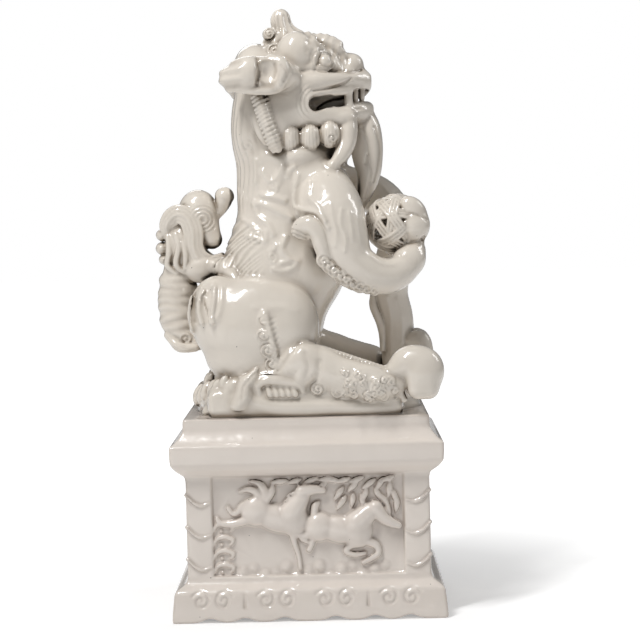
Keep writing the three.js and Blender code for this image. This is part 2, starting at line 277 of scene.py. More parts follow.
def surface_net(clay, field):
    """Vertices (mm) and quads where `field` passes 0 on the clay's grid, one vertex in each cell."""
    inside = field < 0
    cells = [n - 1 for n in field.shape]

    def corner(array, offset):
        return array[tuple(slice(o, o + n) for o, n in zip(offset, cells))]

    count = sum(corner(inside, offset).astype(np.uint8) for offset in CORNERS)
    at = np.nonzero((count > 0) & (count < 8))
    number = np.full(cells, -1, np.int64)
    number[at] = np.arange(len(at[0]))
    base = np.stack(at, 1)
    values = np.stack([field[tuple((base + offset).T)] for offset in CORNERS], 1)
    total = np.zeros((len(base), 3))
    crossings = np.zeros(len(base))
    for a, b in EDGES:
        va, vb = values[:, a].astype(np.float64), values[:, b].astype(np.float64)
        crossed = (va < 0) != (vb < 0)
        t = np.where(crossed, va / np.where(crossed, va - vb, 1), 0)[:, None]
        point = CORNERS[a] + t * (CORNERS[b] - CORNERS[a])
        total += np.where(crossed[:, None], point, 0)
        crossings += crossed
    vertices = clay.low + clay.step * (base + total / crossings[:, None])
    quads = []
    for axis in range(3):
        lower = np.moveaxis(inside, axis, 0)
        ids = np.moveaxis(number, axis, 0)
        change = (lower[:-1] != lower[1:])[:, 1:-1, 1:-1]
        i, j, k = np.nonzero(change)
        quad = np.stack([ids[i, j, k], ids[i, j + 1, k], ids[i, j + 1, k + 1], ids[i, j, k + 1]], 1)
        leaving = lower[:-1][:, 1:-1, 1:-1][i, j, k]
        if axis == 1:
            leaving = ~leaving
        quad[~leaving] = quad[~leaving][:, ::-1]
        quads.append(quad)
    return vertices, np.vstack(quads)


def sample(clay, points):
    """The distance at points, by trilinear interpolation; past the grid it goes on growing."""
    where = (points - clay.low) / clay.step
    limit = np.array(clay.field.shape) - 1.001  # just inside the last cell
    inside = np.clip(where, 0, limit)
    past = clay.step * np.linalg.norm(where - inside, axis=1)
    base = inside.astype(int)
    part = inside - base
    value = np.zeros(len(points))
    for offset in CORNERS:
        weight = np.prod(np.where(offset, part, 1 - part), axis=1)
        value += weight * clay.field[tuple((base + offset).T)]
    return value + past


def skin_normals(clay, points):
    """Unit normals of the skin at points on or near it."""
    gradient = np.zeros((len(points), 3))
    for axis in range(3):
        shift = np.zeros(3)
        shift[axis] = 0.8 * clay.step
        gradient[:, axis] = sample(clay, points + shift) - sample(clay, points - shift)
    length = np.linalg.norm(gradient, axis=1, keepdims=True)
    return gradient / np.maximum(length, TINY)


def openness(clay, points, normals, reaches):
    """1 where the skin is open to the air over `reaches` mm, towards 0 in a crevice or a deep hole."""
    seen = [np.clip(sample(clay, points + normals * r) / r, 0, 1) for r in reaches]
    return sum(seen) / len(seen)


# ---- the dog, piece by piece ----
# Stations are written for a flank whose Y grows outwards, and `flip` puts them on either side.
def flip(rows, side):
    """The same stations on the flank that `side` names."""
    return [[x, side * y, *rest] for x, y, *rest in rows]


def torso(clay):
    trunk = [[-20, 0, 410, 34], [-14, 0, 372, 40], [-14, 0, 335, 46], [-22, 0, 300, 50],
             [-30, 0, 262, 49], [-34, 0, 228, 44]]
    clay.tube(trunk, blend=0, spacing=6)
    clay.ball((8, 0, 352), (30, 40, 44), blend=14)
    clay.ball((2, 0, 300), (36, 42, 36), blend=14)
    clay.tube([[-24, 0, 440, 32], [-22, 0, 400, 34], [-16, 0, 372, 40]], blend=8)
    clay.ball((14, 0, 410), (27, 31, 30), blend=8)
    clay.ball((0, 0, 400), (27, 46, 17), blend=8)
    clay.ball((-43, 0, 426), (17.5, 34, 34), blend=8)
    clay.ball((-65, -22, 304), (11, 12, 9), blend=5)  # under the tip of the tail

    def combed(x, y, z):
        round_the_flank = np.hypot(x + 4, z - 262) + 1.8 * np.sin(0.12 * (x - 2 * z))
        strands = 0.6 * np.sin(2 * np.pi * round_the_flank / 3.9)
        fade = np.clip((-30 - x) / 16, 0, 1) * np.clip((350 - z) / 14, 0, 1)
        return strands * fade * np.clip((z - 268) / 12, 0, 1)

    def nape(x, y, z):
        round_the_neck = 44 * np.arctan2(y, x + 8)
        strands = 0.42 * np.sin(2 * np.pi * round_the_neck / 6.5 + 1.4 * np.sin(0.11 * z))
        return strands * np.clip((-30 - x) / 10, 0, 1) * np.clip((z - 350) / 16, 0, 1)

    clay.ripple((-90, -60, 262), (40, 60, 360), combed)
    clay.ripple((-90, -60, 345), (40, 60, 470), nape)
    for side in (RIGHT, LEFT):
        for fold, width, height in (
            ([(-36, 397), (-29, 401), (-22, 399), (-16, 393), (-15, 386)], 2.6, 1.4),
            ([(-15, 386), (-17, 380), (-21, 373)], 2.2, 1.4),
            ([(-33, 387), (-26, 378), (-21, 381), (-16, 390)], 1.8, 1.8),
            ([(-11, 382), (-9, 387), (-5, 390)], 1.8, 2.0),
            ([(-42, 400), (-39, 388), (-40, 378)], 2.2, 1.6),
            ([(-33, 366), (-22, 364), (-14, 361)], 1.8, 2.2),
            ([(-41, 360), (-30, 357), (-16, 350), (-9, 346)], 2.2, 2.4),
            ([(-41, 357), (-38, 348), (-29, 341), (-25, 332)], 2.0, 2.0),
            ([(-47, 331), (-40, 329), (-32, 326), (-31, 335)], 1.8, 1.8),
            ([(-14, 329), (-17, 319), (-11, 311), (-4, 308)], 2.0, 2.0),
            ([(-25, 302), (-15, 300), (-6, 304)], 1.8, 1.8),
            ([(-52, 345), (-44, 341), (-38, 333)], 1.6, 1.4),
            ([(-22, 322), (-28, 314), (-22, 306), (-12, 309)], 1.8, 1.6),
        ):
            clay.emboss(side, fold, 1.35 * width, 1.1 * height)
        for x, z, size in ((-46, 410, 7), (-40, 330, 9), (-26, 312, 8), (-24, 372, 7)):
            clay.whorl((x, side * 40, z), size, 4.0, 0.45, side)


def head(clay):
    clay.ball((-16, 0, 464), (41, 42, 35), blend=0)
    clay.ball((-30, 0, 440), (28, 41, 28), blend=10)
    clay.ball((30, 0, 470), (30, 27, 21), blend=12)
    clay.ball((18, 0, 488), (24, 25, 16), blend=8)
    clay.ball((22, 0, 478), (19, 32, 13), blend=6)
    clay.block((26, 0, 446), (26, 2.5, 14), 2, blend=1)
    clay.ball((-38, 0, 477), (20, 30, 24), blend=6)
    for side in (RIGHT, LEFT):
        clay.ball((-14, side * 34, 466), (22, 13, 20), blend=8)
        clay.ball((-1, side * 31, 445), (25, 16, 24), blend=8)
        clay.ball((14, side * 30, 436), (20, 12, 10), blend=6)
        clay.ball((26, side * 29, 432), (24, 10, 8.5), blend=5)
        clay.ball((-22, side * 37, 432), (18, 11, 25), blend=6)
        # upper lip: a roll above, and a flatter band below it
        lip = [[0, 37, 463, 7], [16, 35, 464, 8], [33, 28, 465, 7.8], [48, 18, 466, 7.5], [57, 8, 466, 8]]
        clay.tube(flip(lip, side), blend=4)
        band = [[8, 38, 456, 4.8], [24, 34, 455.5, 4.8], [40, 26, 456.5, 4.6], [50, 19, 458.5, 4]]
        clay.tube(flip(band, side), blend=2.5)
        # brow dome, its rim, and the wrinkled band that runs from it over the eye
        clay.ball((17, side * 25, 485), (10, 9, 13), blend=4)
        clay.ball((-1, side * 27, 489), (17.5, 16, 19.5), blend=4.5)
        rim = [[9, 25, 504, 4], [14, 30, 498, 5], [15.5, 32, 488, 5], [12, 34, 475, 4]]
        clay.tube(flip(rim, side), blend=3)
        brow = [[14, 13, 502, 6], [26, 14, 499.5, 6.5], [35, 14, 495, 6], [38, 14, 488, 4]]
        clay.tube(flip(brow, side), blend=4)
        # nose and the bulb of the front lip
        clay.ball((47, side * 7, 480), (11, 11, 10), blend=4)
        clay.ball((54, side * 6, 463), (10.5, 11.5, 12.5), blend=4)
        clay.ball((8, side * 31, 474), (20, 8, 6), blend=4)
    open_mouth(clay)

    def fade(distance, over):
        return np.clip(distance / over, 0, 1)

    def wrinkled(x, y, z):
        out = np.abs(y)
        from_eye = np.hypot(x - 23.5, z - 481.5)
        rings = 0.35 * np.cos(2 * np.pi * from_eye / 2.9) * fade(14 - from_eye, 3)
        rings *= fade(from_eye - 6, 1.5) * fade(out - 12, 6)
        band = 0.7 * np.sin(0.62 * x + 0.25 * z) * np.cos(0.45 * z - 0.3 * x + 0.2 * y)
        band *= fade(x - 4, 4) * fade(z - 482, 6) * fade(46 - x, 4)
        from_corner = np.hypot(x - 15, 0.9 * (z - 445))
        folds = 0.4 * np.cos(2 * np.pi * from_corner / 3.6) * fade(19 - from_corner, 5)
        folds *= fade(from_corner - 7, 2) * fade(14 - x, 6) * fade(out - 20, 6)
        return rings + band + folds

    clay.ripple((-10, -60, 418), (62, 60, 514), wrinkled)
    for side in (RIGHT, LEFT):
        over_the_lip = [(-4, 468), (2, 472), (11, 474), (24, 473), (37, 472.5), (46, 471), (55, 474)]
        for fold, width, height in (
            ([(13, 455.5), (26, 457.5), (37, 461), (46, 466)], 1.2, -1.6),
            (over_the_lip, 1.8, -1.5),
            ([(12, 502), (19, 493), (19, 482), (15, 474)], 1.4, -0.9),
            ([(36, 488), (39, 480), (41, 474)], 1.6, -1.2),
            ([(44, 483), (43, 479)], 2.2, -1.6),
        ):
            clay.emboss(side, fold, width, height)


def open_mouth(clay):
    """The side openings and the front one with its small teeth; the fangs close the side ones."""
    opening = [[15.5, 444.2, 7.0], [27, 446.4, 5.6], [38.5, 447.6, 3.6]]  # X, Z and radius
    for side in (RIGHT, LEFT):
        for (x0, z0, r0), (x1, z1, r1) in zip(opening[:-1], opening[1:]):
            for y in (14, 21, 28, 35, 42, 50):
                clay.tube([[x0, side * y, z0, r0], [x1, side * y, z1, r1]], blend=0.8, cut=True)
        clay.ball((25, side * 20, 445), (20, 12, 9), blend=1, cut=True)
        for y in (8, 13, 18, 23, 28):
            clay.tube(flip([[52, y, 453.5, 4.6], [59.5, y, 453.5, 4.6]], side), blend=0.8, cut=True)
        clay.tube(flip([[56, 10, 459, 2.8], [56, 10, 450, 2.4]], side), blend=0.6)
        clay.tube(flip([[50, 15, 459, 2.8], [50, 15, 449, 2.6]], side), blend=0.6)


def lower_jaw(clay):
    clay.ball((24, 0, 431), (36, 31, 10), turn=(0, -7, 0), blend=0)
    clay.ball((50, 0, 436), (16, 19, 10.5), blend=5)
    for side in (RIGHT, LEFT):
        lip = [[4, 33, 431, 7], [20, 32, 431.5, 7.5], [36, 26, 435, 7.5], [50, 15, 439, 7.5],
               [60, 4, 441, 6.5]]
        clay.tube(flip(lip, side), blend=4)
        clay.ball((26, side * 20, 446), (17, 12, 7), blend=2, cut=True)
        clay.emboss(side, [(18, 433), (32, 435), (44, 438), (54, 440)], 1.3, -0.8)


def crest(clay):
    horn = [[-6, 0, 490, 16], [-9, 0, 504, 11.5], [-12.5, 0, 513, 9.2], [-14.5, 0, 520, 8.6],
            [-14.5, 0, 523, 8.2]]
    clay.tube(horn, blend=0)
    clay.ball((0, 0, 500), (12, 11, 11), blend=6)
    clay.ball((-18, 0, 496), (13, 21, 17), blend=4)

    def fluted(x, y, z):
        angle = np.arctan2(y, x + 14) + 0.012 * (z - 505)
        return 0.75 * np.cos(10 * angle) * np.clip((528 - z) / 5, 0, 1)

    clay.ripple((-40, -30, 484), (12, 30, 540), fluted)
    for side in (RIGHT, LEFT):
        clay.ball((-24, side * 14, 507.5), (6.6, 7, 6), blend=1.0)
        clay.ball((-20, side * 19, 491.5), (9.5, 8.5, 9), blend=1.0)
        clay.whorl((-24, side * 20, 507.5), 6.5, 3.2, 0.8, side)
        clay.whorl((-20, side * 27, 491.5), 9.5, 3.8, 1.0, side)


def ear(side):
    def sculpt(clay):
        body = [[-6, 42, 468, 9], [-17, 47, 470, 14], [-33, 50, 470.5, 15], [-47, 51, 470.5, 13.5],
                [-57, 50, 467.5, 11]]
        clay.tube(flip(body, side), blend=0)
        clay.ball((-43, side * 55, 470.5), (10, 10.5, 13.5), blend=5)
        clay.ball((-25, side * 65, 471), (8.5, 10, 11.5), blend=5, cut=True)
        front_rim = [[-22, 53, 483, 3.6], [-14, 56, 479, 5.4], [-12, 57, 470, 6], [-16, 57, 460, 4.8]]
        clay.tube(flip(front_rim, side), blend=3)
        lower_rim = [[-8, 48, 463, 3.6], [-20, 56, 456, 3.6], [-38, 58, 455.5, 3.4], [-58, 52, 459, 3.4]]
        clay.tube(flip(lower_rim, side), blend=2.5)

        def banded(x, y, z):
            bands = np.cos(2 * np.pi * (z - 471 - 0.1 * x) / 8.6)
            return 0.6 * bands * np.clip((-46 - x) / 4, 0, 1)

        clay.ripple((-80, -75, 445), (-40, 75, 492), banded)
        clay.emboss(side, [(-34, 482), (-33, 472), (-35, 461)], 1.6, -2.0)
        clay.emboss(side, [(-19, 478), (-18, 472), (-20, 465)], 1.2, -0.8)
        clay.emboss(side, [(-13, 476), (-9, 470), (-12, 463)], 1.2, -1.0)

    return sculpt


def eye(side):
    def sculpt(clay):
        clay.ball((23.5, side * 30, 481.5), (6.4, 7, 6.4), blend=0)

    return sculpt


def fang(side):
    def sculpt(clay):
        column = [[43.8, 23.5, 459, 4.4], [43.8, 22.5, 450, 3.7], [44.2, 22.5, 440, 4.6]]
        clay.tube(flip(column, side), blend=0)

    return sculpt


def mane_roll(side):
    def sculpt(clay):
        middle = [[-35, 46, 453, 6.4], [-31.5, 48, 443, 7.2], [-26.5, 48, 427, 7.6], [-21.5, 46, 413, 7.2],
                  [-18.5, 43, 406, 5.6]]
        line = spline(flip(middle, side), 4.0)
        core = line.copy()
        core[:, 3] -= 1.9
        clay.tube(core, blend=0)
        for x, y, z, r in line:
            rib = [[x - r * 0.78, y - side * 2.0, z - r * 0.42, 1.7], [x, y + side * (r - 2.2), z, 2.1],
                   [x + r * 0.78, y - side * 2.0, z + r * 0.42, 1.7]]
            clay.tube(rib, blend=0.5)

    return sculpt


def cheek_curls(side):
    lobes = ((-8, 38, 415.5, 9.4, 12), (9.5, 37.5, 415.5, 9.6, 12), (26.5, 35, 418, 9.4, 12.5))

    def sculpt(clay):
        for x, y, z, wide, tall in lobes:
            clay.ball((x, side * y, z), (wide, 10, tall), blend=0.6)
        for x, y, z, wide, tall in lobes:
            for offset in (-0.62, -0.3, 0.02, 0.34, 0.66):
                groove = [
                    (x + offset * wide * (0.8 + 0.2 * t), z + tall * (0.8 - 1.6 * t)) for t in (0, 0.5, 1)
                ]
                clay.emboss(side, groove, 0.75, -0.6)
        clay.whorl((29, side * 42, 414), 5.5, 3.4, 0.7, -side)

    return sculpt


def chin_tuft(side):
    def sculpt(clay):
        tuft = [[42, 24, 433, 9], [42, 29, 420, 9], [40.5, 32, 409, 8.2], [36.5, 37, 400, 6.6],
                [31, 39.5, 393, 4.8], [28.5, 40, 391, 4.2]]
        clay.lock(flip(tuft, side), strands=5, twist=0.08, blend=0, spread=0.24)

    return sculpt


def beard(clay):
    middle = [[55, 0, 435, 11], [58, -2, 424, 13.5], [59, -3, 410, 14.5], [60, -5, 396, 13],
              [60.5, -7, 384, 10.5], [58, -8, 371, 8], [54, -9, 358, 4.6], [52, -9, 349, 1.8]]
    clay.lock(middle, strands=10, twist=0.12, blend=0, spread=0.26)
    for side in (RIGHT, LEFT):
        for groove in (
            [(55, 424), (60, 408), (58, 392)],
            [(66, 424), (70, 408), (68, 390), (64, 376)],
            [(60, 400), (62, 386), (60, 372), (57, 362)],
        ):
            clay.emboss(side, groove, 1.2, -1.0)


def right_foreleg(clay):
    arm = [[8, -19, 380, 26.5], [18, -25, 369, 27], [27, -44, 350, 27.5], [34, -53, 330, 23.5],
           [42, -56, 309, 19.5], [57, -56, 297, 17.2], [73, -53, 293.5, 15.5], [86, -48, 298, 13.5],
           [94, -42, 306, 11], [98, -37, 315, 10]]
    clay.tube(arm, blend=0, spacing=4)
    # the paw, a mitten laid over the ball from in front
    clay.ball((100, -39, 335), (11, 8, 19), turn=(0, 8, 0), blend=3)
    clay.ball((97, -42, 352), (12.5, 8.5, 9), turn=(0, 38, 0), blend=4)
    clay.ball((99, -43, 337), (12.5, 9, 12), blend=4)
    clay.ball((93, -42, 307), (14, 12, 13), blend=5)
    clay.ball((107, -46, 325), (3, 8, 3), blend=1.5, cut=True)
    clay.emboss(RIGHT, [(86, 344), (97, 347), (109, 341)], 1.2, -1.2)
    clay.emboss(RIGHT, [(88, 336), (98, 335), (110, 337)], 1.2, -0.5)
    clay.emboss(RIGHT, [(84, 326), (94, 322), (104, 324)], 1.4, -1.2)
    # the wave of hair at the elbow, and the fringe that runs on from it
    wave = [[-2, -60, 334, 7.5], [2, -63, 338, 8.5], [9, -66, 339, 8.5], [15, -67, 332, 8.2],
            [18, -67, 321, 7.5], [21, -66, 311, 6.8]]
    clay.lock(wave, strands=5, twist=0.12, blend=3, spread=0.24)
    clay.ball((4, -59, 333), (9, 8, 7), blend=3)
    for offset in (-3.2, 0, 3.2):
        clay.emboss(RIGHT, [(-9, 333 + offset), (-2, 331 + offset), (5, 328 + offset)], 0.8, -1.2)
    fringe = [[19, -66, 308, 6.2], [28, -66, 299, 6], [38, -65, 291, 5.8], [49, -62, 285, 5],
              [61, -58, 281, 4]]
    for i, (x, y, z, r) in enumerate(spline(fringe, 8.5)):
        clay.ball((x, y, z), (r * 1.2, r * 1.1, r), turn=(0, 35, 0), blend=1.6)
        clay.whorl((x, y - r, z), r * 1.2, 3.8, 0.7, 1 if i % 2 else -1)
    for fold, width, height in (
        ([(-2, 383), (-7, 361), (-4, 349)], 2.2, 1.6),
        ([(8, 376), (7, 364), (15, 355), (21, 343)], 2.0, 1.6),
        ([(-8, 356), (4, 352), (15, 349), (23, 337)], 2.4, 1.8),
        ([(26, 357), (27, 346), (30, 334), (29, 322)], 1.8, 0.9),
        ([(35, 352), (34, 340), (38, 328), (37, 316)], 1.6, 0.9),
        ([(42, 350), (43, 338), (44, 326)], 1.6, 0.8),
        ([(48, 346), (49, 336), (51, 324)], 1.4, 0.6),
        ([(60, 312), (70, 305), (80, 304)], 1.6, 0.7),
    ):
        clay.emboss(RIGHT, fold, width, height)


def left_foreleg(clay):
    leg = [[8, 34, 374, 26], [40, 38, 372, 20], [68, 34, 364, 18], [83, 28, 348, 16], [85, 26, 322, 16],
           [80, 26, 295, 17], [78, 26, 274, 16.5], [82, 27, 254, 16.5], [84, 28, 236, 16], [87, 30, 211, 17]]
    clay.tube(leg, blend=0, spacing=5)
    clay.ball((98, 30, 216), (18, 19, 20), blend=6)
    for offset in (-11, 0, 11):
        toe = [[96, 29 + offset, 233, 7.5], [105, 29 + 1.2 * offset, 232, 8.5],
               [109, 29 + 1.3 * offset, 216, 8]]
        clay.tube(toe, blend=1.5)
    feather = [[63, 18, 276, 3], [63, 17, 264, 4.2], [68, 17, 250, 4.2], [70, 18, 238, 3.4],
               [70, 19, 224, 2.4]]
    clay.lock(feather, strands=4, twist=0.2, blend=1.2, spread=0.3)
    for side in (RIGHT, LEFT):
        for fold in ([(75, 272), (78, 255), (77, 235), (78, 218)], [(84, 270), (88, 252), (88, 232)],
                     [(58, 380), (72, 374), (82, 362)]):
            clay.emboss(side, fold, 2.0, 0.8)


def haunch(clay, side):
    clay.ball((-42, side * 42, 252), (53, 31, 44), blend=0)
    clay.ball((-74, side * 33, 264), (27, 28, 33), blend=10)
    clay.ball((-14, side * 46, 250), (25, 25, 37), blend=10)
    clay.ball((-52, side * 40, 222), (33, 27, 20), blend=10)
    clay.ball((-36, side * 50, 212), (28, 19, 13), blend=6)
    for ridge, width, height in (
        ([(-95, 290), (-99, 276), (-101, 262), (-98, 250)], 2.6, 4.2),
        ([(-89, 284), (-91, 270), (-88, 257)], 2.4, 3.8),
        ([(-87, 285), (-82, 272), (-79, 258)], 2.2, 3.8),
        ([(-76, 288), (-77, 274), (-79, 259)], 2.2, 3.4),
        ([(-70, 288), (-71, 272), (-75, 258)], 2.4, 1.4),
        ([(-85, 281), (-83, 272), (-80, 264)], 2.6, -3.6),
        ([(-94, 286), (-95, 272), (-94, 258)], 1.6, -1.4),
        ([(-42, 270), (-20, 270), (-6, 266)], 3.0, 0.7),
    ):
        clay.emboss(side, ridge, width, height, inner=40)
    # the flame of curls up the thigh
    clay.emboss(side, [(-33, 265), (-29, 250), (-26, 234), (-23, 214)], 2.8, 4.4)
    for x, z, size in ((-34, 259, 4.5), (-34.5, 246, 5.5), (-31, 233, 6.5), (-28, 221, 6)):
        clay.emboss(side, [(x, z), (x + 1, z + 0.5)], size * 0.8, 3.6)
        clay.whorl((x, side * 72, z), size * 1.3, 3.6, 1.2, -side)
    for z in np.arange(216, 262, 4.6):
        clay.emboss(side, [(-33 + 0.13 * (262 - z), z), (-25 + 0.13 * (262 - z), z + 3.4)], 0.9, -0.8)


def right_hind_leg(clay):
    haunch(clay, RIGHT)
    # the knee folded over the shin
    clay.tube([[-18, -58, 214, 14], [-6, -64, 222, 15], [1, -66, 224, 14], [0, -68, 212, 11]], blend=5)
    shin = [[2, -58, 217, 20], [13, -61, 217, 18.5], [26, -64, 211, 17], [41, -67, 207, 15.5],
            [55, -69, 204, 14.5], [69, -70, 202, 12], [80, -70, 202, 8.5]]
    clay.tube(shin, blend=4)
    clay.emboss(RIGHT, [(13, 222), (12, 212), (5, 202)], 2.6, -1.6)
    clay.emboss(RIGHT, [(1, 229), (4, 219), (1, 210)], 2.8, -1.2)
    clay.emboss(RIGHT, [(-22, 216), (-12, 229), (-4, 238)], 1.6, -1.0)
    # a row of beads along the top of the shin, and curls below it
    for along in np.linspace(0, 1, 17):
        clay.ball((22 + 50 * along, -63 - 5 * along, 231 - 17.5 * along), (2.3, 4.5, 2.6), blend=0.8)
    for i in range(26):
        x = 34 + 8.4 * (i % 6) + 2.6 * math.sin(2.3 * i)
        z = 213 - 6.6 * (i // 6) - 0.24 * (x - 34) + 1.4 * math.sin(1.7 * i)
        size = 4.6 + 0.8 * math.sin(5.1 * i)
        clay.emboss(RIGHT, [(x, z), (x + 1, z + 1)], size * 0.7, 2.2)
        clay.whorl((x, -82, z), size * 1.1, 3.2, 0.9, 1 if i % 2 else -1)
    # the tip of the tail, laid on the haunch
    tip = [[-78, -12, 305, 6], [-70, -24, 301, 6.5], [-62, -37, 296, 5.5], [-55, -46, 288, 2.6]]
    clay.lock(tip, strands=4, twist=0.1, blend=1.5, spread=0.3)
    # the pointed flap of rock that laps onto the haunch
    flap = [[-41, -69, 217, 1.4], [-46, -70, 210, 4.5], [-52, -70, 203, 6], [-53, -71, 194, 7],
            [-58, -71, 186, 6]]
    clay.tube(flap, blend=1.5)
    clay.emboss(RIGHT, [(-43, 213), (-52, 203), (-54, 193)], 1.0, -1.0)


def left_hind_leg(clay):
    """The far leg, which is plainer, since the knee isn't folded over the shin."""
    haunch(clay, LEFT)
    shin = [[-6, 54, 232, 21], [11, 56, 226, 17], [27, 58, 221, 16], [41, 59, 216, 15], [60, 60, 211, 14.5],
            [68, 61, 207, 12.5], [80, 62, 204, 11]]
    clay.tube(shin, blend=5)
    for along in np.linspace(0, 1, 17):
        clay.ball((14 + 48 * along, 64 + 4 * along, 238 - 16 * along), (2.8, 4.5, 2.8), blend=1.0)
    for i in range(20):
        x = 30 + 9 * (i % 5) + 2.6 * math.sin(2.3 * i)
        z = 217 - 7 * (i // 5) - 0.24 * (x - 34)
        clay.whorl((x, 76, z), 5, 2.9, 0.7, 1 if i % 2 else -1)


def hind_foot(side):
    def sculpt(clay):
        clay.ball((102, side * 71, 212), (18, 15.5, 20.5), blend=0)
        clay.block((101.5, side * 72, 203.5), (13.5, 12, 15.5), 9, blend=4)
        clay.ball((93, side * 68, 219), (20, 15, 15.5), turn=(0, -10, 0), blend=3)
        clay.ball((82, side * 69, 215), (15, 11, 8.5), turn=(0, -20, 0), blend=4)
        clay.tube(flip([[68, 68, 208, 7], [86, 69, 211, 7]], side), blend=3)
        clay.tube(flip([[84, 70, 206, 3], [82, 71, 197, 2.4], [85, 71, 188, 3]], side), blend=2)

    return sculpt


RIBBONS = 9
GOLDEN_ANGLE = math.radians(137.5)  # spreads the ribbons' poles evenly over the ball


def ribbon_ball(clay):
    """An open ball of hoops, each of three strands, that pass over and under each other."""
    centre = np.array([82.6, -25.0, 338.0])
    radius, strand_radius = 24.9, 1.6
    for i in range(RIBBONS):
        height = (i + 0.5) / RIBBONS
        heading = GOLDEN_ANGLE * i + 0.6
        flat = math.sqrt(1 - height * height)
        pole = np.array([flat * math.cos(heading), height, flat * math.sin(heading)])
        across = np.cross(pole, (0.3, 0.2, 0.93))
        across /= np.linalg.norm(across)
        other = np.cross(pole, across)
        for lift in (-3.0, 0.0, 3.0):
            ring = []
            for angle in np.linspace(0, 2 * math.pi, 37):
                reach = radius + 0.9 * math.cos(3 * angle + 2 * i)
                out = across * math.cos(angle) + other * math.sin(angle)
                ring.append([*(centre + pole * lift + reach * out), strand_radius])
            clay.tube(ring, blend=0.15, spacing=5)


def tail_trunk(clay):
    trunk = [[-92, 3, 236, 7], [-102, 5, 238, 10], [-111, 6, 246, 13.5], [-114, 7, 260, 16],
             [-114, 8, 282, 16.5], [-112, 8, 300, 14]]
    clay.tube(trunk, blend=0)
    for i, (x, y, z, r) in enumerate(spline(trunk[1:], 9)[:-1]):
        tilt = 2.8 * math.sin(2.1 * i)
        ring = []
        for angle in np.linspace(0, 2 * math.pi, 13):
            wave = tilt * math.cos(angle) + 1.6 * math.sin(2 * angle + i)
            ring.append([x + (r - 1.8) * math.cos(angle), y + (r - 1.8) * math.sin(angle), z + wave, 2.8])
        clay.tube(ring, blend=3.0)
    for x, z, size in ((-106, 240, 7), (-116, 236, 6), (-97, 232, 6)):
        clay.whorl((x, -8, z), size, 3.6, 0.8, 1)
    clay.lock([[-122, 0, 244, 5], [-112, -6, 233, 5], [-98, -6, 232, 4]], strands=4, blend=2, spread=0.3)


def tail_plume(clay):
    clay.ball((-93, 6, 351), (18.5, 17, 22), blend=0)
    clay.ball((-105, 5, 322), (19, 15.5, 25), blend=6)
    clay.tube([[-77, 4, 347, 2.5], [-72, 3, 356, 5.5], [-69, 2, 366, 8.8]], blend=1.5)
    clay.ball((-81, 3, 328), (9, 10, 8.5), blend=3)
    clay.ball((-86, 3, 337), (12, 11, 14), blend=4)
    clay.ball((-90, -2, 303), (18, 14, 14), blend=5)
    clay.ball((-74, -10, 305), (11, 11, 8), blend=4)
    clay.ball((-126, 8, 333), (6, 10, 5.5), blend=0.8)
    clay.ball((-126, 8, 321), (6.5, 10, 6), blend=0.8)
    clay.ball((-124, 8, 311), (6, 10, 5), blend=0.8)

    def combed(x, y, z):
        from_dimple = np.hypot(x + 88, z - 346)
        rings = 0.55 * np.cos(2 * np.pi * from_dimple / 3.4) * np.clip((z - 328) / 8, 0, 1)
        return rings * np.clip((16 - from_dimple) / 6, 0.15, 1) * np.clip((-76 - x) / 4, 0, 1)

    clay.ripple((-125, -30, 325), (-70, 40, 380), combed)
    for face in (RIGHT, LEFT):
        clay.ball((-88, 6 + face * 19, 346), (2.6, 4, 2.6), blend=0.8, cut=True)
        plume_wave(clay, face)
    tip = [[-86, -6, 309, 5], [-78, -11, 304, 6.4], [-69, -17, 300, 6], [-62, -19, 295, 5]]
    clay.lock(tip, strands=4, twist=0.1, blend=1.0, spread=0.3)
    for strand in (
        [[-113, -6, 334, 2.6], [-110, -9, 322, 3], [-113, -8, 308, 3], [-108, -7, 301, 2.6],
         [-96, -7, 298, 2.2]],
        [[-120, -2, 332, 2.6], [-119, -6, 318, 3], [-121, -4, 306, 3], [-113, -5, 299, 2.4]],
        [[-106, -9, 326, 2.4], [-104, -11, 314, 2.8], [-105, -9, 303, 2.4]],
    ):
        clay.tube(strand, blend=0.8)


def plume_wave(clay, face):
    """Five strands side by side that arch over the plume and sweep down into its tip."""
    middle = 6  # the Y of the plume's middle plane
    wave = spline(
        [[-119, 0, 328], [-121, -3, 341], [-112, -8, 351], [-102, -10, 348], [-97, -11, 336],
         [-97, -11, 322], [-92, -11, 311], [-82, -10, 308], [-72, -7, 313]],
        3.0,
    )
    tangent = np.gradient(wave, axis=0)
    tangent /= np.linalg.norm(tangent, axis=1, keepdims=True)
    count = len(wave)
    wide = np.interp(np.arange(count), [0, 0.2 * count, 0.8 * count, count], [0.3, 1, 1, 0.2])
    for shift in (-6.6, -3.3, 0, 3.3, 6.6):
        rows = wave.copy()
        rows[:, 0] += shift * wide * tangent[:, 2]
        rows[:, 2] -= shift * wide * tangent[:, 0]
        rows[:, 1] = middle - face * (rows[:, 1] - middle + 0.25 * abs(shift) * wide)
        clay.tube(np.column_stack([rows, 1.0 + 1.5 * wide]), blend=0.5, spacing=4)


